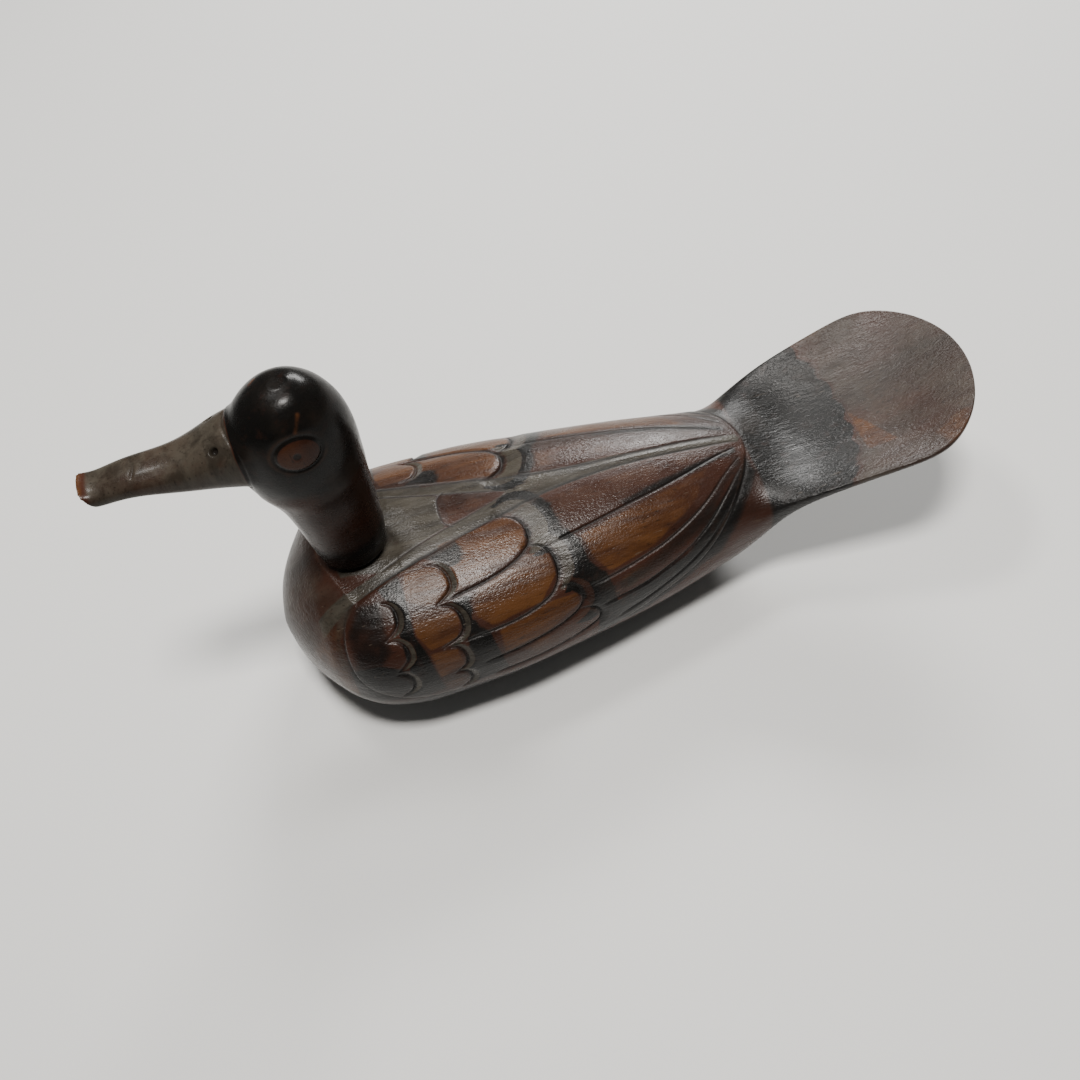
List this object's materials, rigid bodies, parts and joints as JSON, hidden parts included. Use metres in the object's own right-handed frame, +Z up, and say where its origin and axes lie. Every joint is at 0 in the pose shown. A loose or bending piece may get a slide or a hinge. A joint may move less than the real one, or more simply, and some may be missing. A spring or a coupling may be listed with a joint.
{
  "type": "duck-shaped shoehorn",
  "caption": "Carved, dark-stained wooden duck whose long concave tail is a shoehorn. It stands on its flat belly, and its head turns on a hidden peg.",
  "frame": {"origin": "on the flat that the belly rests on, on the duck's centre plane, 43.3 mm behind the axis that the head turns on", "axes": "+Z up, +X from the breast towards the tip of the scoop, so the duck faces -X and its left side faces -Y"},
  "size_m": [0.259, 0.0834, 0.1293],
  "materials": {
    "stained_body_wood": "dark stain, rubbed and lacquered",
    "stained_head_wood": "near-black stain, polished lacquer",
    "bare_peg_wood": "bare turned dowel"
  },
  "bodies": {
    "body": {"duck_body": "stained_body_wood"},
    "head": {"head_and_neck": "stained_head_wood", "neck_peg": "bare_peg_wood"}
  },
  "joints": [
    {"name": "neck_swivel", "type": "hinge", "parent": "body", "child": "head", "pos_m": [-0.0433, 0, 0.0539], "axis": [0, 0, 1], "continuous": true}
  ]
}
